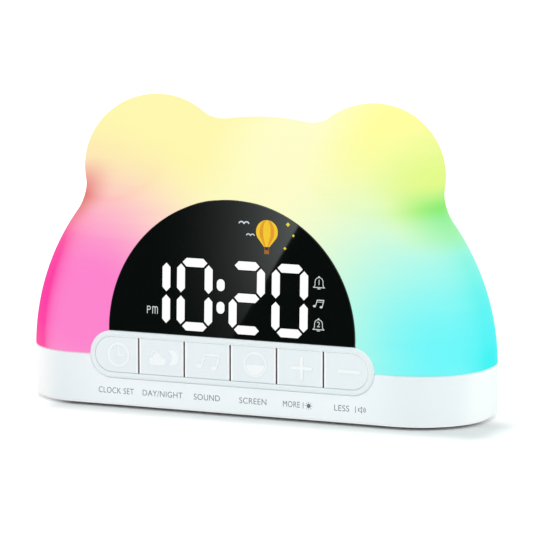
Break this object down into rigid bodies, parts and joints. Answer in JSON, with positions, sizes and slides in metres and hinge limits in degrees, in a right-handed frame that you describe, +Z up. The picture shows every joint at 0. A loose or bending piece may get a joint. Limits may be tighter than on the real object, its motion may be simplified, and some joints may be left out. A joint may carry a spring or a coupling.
{
  "type": "alarm clock with night light",
  "caption": "Bear-eared clock with a translucent glowing head, a half-round black LED display, a stadium row of press keys and a low white base with a sliding battery door.",
  "frame": {"origin": "on the table under the middle of the clock, at the undersides of the feet", "axes": "+X to the clock's right as seen from the front, along its length; -Y towards the viewer, front; +Z up"},
  "size_m": [0.165, 0.0548, 0.1046],
  "materials": {
    "shade_plastic": "satin milky translucent moulding, lit from inside",
    "window_black": "polished black smoked acrylic",
    "gasket_rubber": "matt foam adhesive ring",
    "film_plastic": "matt white diffusing film",
    "reflector_plastic": "moulded white light cells",
    "lamp_package": "clear epoxy on a white package",
    "circuit_board": "green solder mask on glass laminate",
    "inner_plastic": "plain moulded plastic",
    "screw_steel": "zinc plated",
    "base_plastic": "cool white moulded plastic with a fine satin grain",
    "key_plastic": "cool white, smoother than the base",
    "stem_plastic": "black moulded plastic",
    "switch_plastic": "black moulded plastic",
    "foot_rubber": "grey rubber pad",
    "cell_sleeve": "printed sleeve, plain",
    "contact_nickel": "nickel plated spring steel",
    "speaker_foam": "black foam ring",
    "speaker_steel": "pressed zinc plated steel",
    "speaker_paper": "black coated paper",
    "socket_steel": "bright pressed steel",
    "chip_plastic": "black epoxy package",
    "capacitor_can": "bare can"
  },
  "bodies": {
    "clock": {"shade": "shade_plastic", "display_window": "window_black", "window_gasket": "gasket_rubber", "segment_film": "film_plastic", "segment_reflector": "reflector_plastic", "display_diodes": "lamp_package", "display_board": "circuit_board", "display_bracket": "inner_plastic", "display_screws": "screw_steel", "base_housing": "base_plastic", "bottom_cover": "base_plastic", "rubber_feet": "foot_rubber", "case_screws": "screw_steel", "key_bezel": "base_plastic", "key_board": "circuit_board", "key_board_screws": "screw_steel", "switch_cases": "switch_plastic", "contact_plates": "contact_nickel", "contact_springs": "contact_nickel", "speaker_foam": "speaker_foam", "speaker_frame": "speaker_steel", "speaker_cone": "speaker_paper", "speaker_magnet": "speaker_steel", "main_board": "circuit_board", "main_board_screws": "screw_steel", "usb_socket": "socket_steel", "sound_chip": "chip_plastic", "control_chip": "chip_plastic", "backup_capacitor": "capacitor_can", "clock_crystal": "socket_steel", "lamp_board": "circuit_board", "lamp_board_screws": "screw_steel", "lamps": "lamp_package", "battery_cell_1": "cell_sleeve", "battery_cell_2": "cell_sleeve", "battery_cell_3": "cell_sleeve"},
    "clock_key": {"key_clock": "key_plastic", "stem_clock": "stem_plastic"},
    "lamp_key": {"key_lamp": "key_plastic", "stem_lamp": "stem_plastic"},
    "music_key": {"key_music": "key_plastic", "stem_music": "stem_plastic"},
    "dimmer_key": {"key_dimmer": "key_plastic", "stem_dimmer": "stem_plastic"},
    "plus_key": {"key_plus": "key_plastic", "stem_plus": "stem_plastic"},
    "minus_key": {"key_minus": "key_plastic", "stem_minus": "stem_plastic"},
    "battery_door": {"battery_door": "base_plastic"}
  },
  "joints": [
    {"name": "clock_press", "type": "slide", "parent": "clock", "child": "clock_key", "axis": [0, 1, 0], "range_m": [0, 0.0005], "stiffness_N_per_m": 800, "springref_m": -0.0005},
    {"name": "lamp_press", "type": "slide", "parent": "clock", "child": "lamp_key", "axis": [0, 1, 0], "range_m": [0, 0.0005], "stiffness_N_per_m": 800, "springref_m": -0.0005},
    {"name": "music_press", "type": "slide", "parent": "clock", "child": "music_key", "axis": [0, 1, 0], "range_m": [0, 0.0005], "stiffness_N_per_m": 800, "springref_m": -0.0005},
    {"name": "dimmer_press", "type": "slide", "parent": "clock", "child": "dimmer_key", "axis": [0, 1, 0], "range_m": [0, 0.0005], "stiffness_N_per_m": 800, "springref_m": -0.0005},
    {"name": "plus_press", "type": "slide", "parent": "clock", "child": "plus_key", "axis": [0, 1, 0], "range_m": [0, 0.0005], "stiffness_N_per_m": 800, "springref_m": -0.0005},
    {"name": "minus_press", "type": "slide", "parent": "clock", "child": "minus_key", "axis": [0, 1, 0], "range_m": [0, 0.0005], "stiffness_N_per_m": 800, "springref_m": -0.0005},
    {"name": "battery_door_slide", "type": "slide", "parent": "clock", "child": "battery_door", "axis": [0, 1, 0], "range_m": [0, 0.036]}
  ]
}
